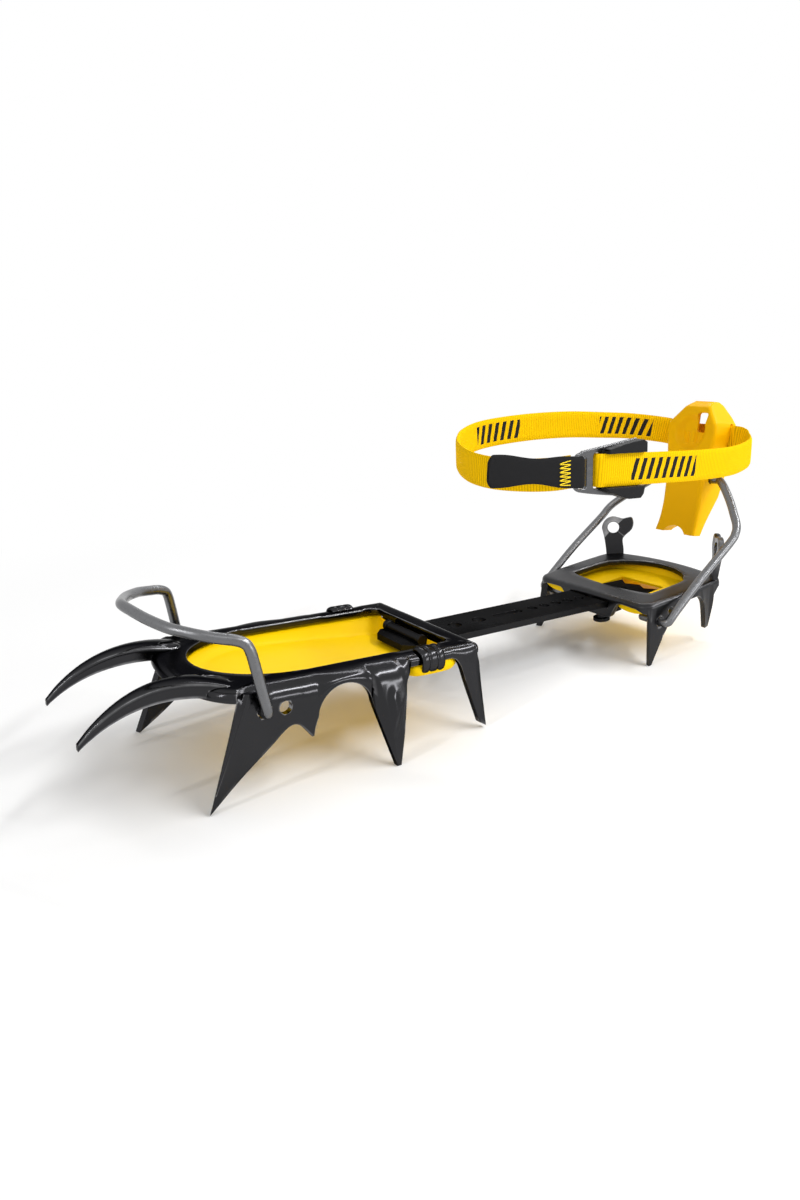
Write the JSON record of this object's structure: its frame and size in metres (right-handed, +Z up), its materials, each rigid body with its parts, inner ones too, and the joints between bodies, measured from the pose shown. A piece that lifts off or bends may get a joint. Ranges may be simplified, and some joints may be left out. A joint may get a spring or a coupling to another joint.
{
  "type": "automatic crampon",
  "caption": "Automatic crampon with pressed steel front and heel frames on a link bar, wire toe and heel bails, a heel lever, anti-snow plates and an ankle strap.",
  "frame": {"origin": "centre of the bounding box's base, on the plane the lowest points stand on", "axes": "+X from the toe to the heel, +Z up"},
  "size_m": [0.3621, 0.108, 0.1216],
  "materials": {
    "black_paint": "gloss black paint",
    "grey_paint": "semi-matte dark grey paint",
    "bar_black": "matte black",
    "bail_steel": "satin stainless",
    "lock_steel": "satin stainless",
    "buckle_steel": "bright stainless",
    "plate_yellow": "yellow moulding",
    "lever_yellow": "warm yellow moulding",
    "webbing_yellow": "ribbed webbing",
    "tab_black": "black woven tape",
    "thread_yellow": "sewing thread",
    "cam_black": "satin black moulding",
    "clip_black": "satin black moulding"
  },
  "bodies": {
    "front_section": {"front_frame": "black_paint", "front_antisnow_plate": "plate_yellow", "plate_clip_left": "clip_black", "plate_clip_right": "clip_black"},
    "toe_bail": {"toe_bail": "bail_steel"},
    "link_bar": {"link_bar": "bar_black"},
    "heel_section": {"heel_frame": "grey_paint", "heel_antisnow_plate": "plate_yellow", "lock_bracket": "lock_steel", "lock_rivets": "lock_steel"},
    "bar_lock": {"lock_pin": "lock_steel"},
    "heel_bail": {"heel_bail": "bail_steel", "strap_short_strand": "webbing_yellow", "strap_long_strand": "webbing_yellow", "strap_tail_tab": "tab_black", "tail_bar_tack": "thread_yellow", "buckle_frame": "buckle_steel", "buckle_cam": "cam_black"},
    "heel_lever": {"heel_lever": "lever_yellow", "strap_lever_section": "webbing_yellow"}
  },
  "joints": [
    {"name": "toe_bail_swing", "type": "hinge", "parent": "front_section", "child": "toe_bail", "pos_m": [-0.11815, 0, 0.03332], "axis": [0, 1, 0], "range_deg": [-30, 60]},
    {"name": "bar_flex", "type": "hinge", "parent": "front_section", "child": "link_bar", "pos_m": [-0.0302, 0, 0.02989], "axis": [0, 1, 0], "range_deg": [-6, 6]},
    {"name": "length_adjust", "type": "slide", "parent": "link_bar", "child": "heel_section", "axis": [0.9994, 0, -0.0333], "range_m": [-0.032, 0.016]},
    {"name": "lock_travel", "type": "slide", "parent": "heel_section", "child": "bar_lock", "axis": [-0.0785, 0, 0.9969], "range_m": [0, 0.0036]},
    {"name": "heel_bail_swing", "type": "hinge", "parent": "heel_section", "child": "heel_bail", "pos_m": [0.09604, 0, 0.02141], "axis": [0, 1, 0], "range_deg": [-15, 30]},
    {"name": "lever_flip", "type": "hinge", "parent": "heel_bail", "child": "heel_lever", "pos_m": [0.16454, 0, 0.081], "axis": [0, 1, 0], "range_deg": [-15, 90]}
  ]
}
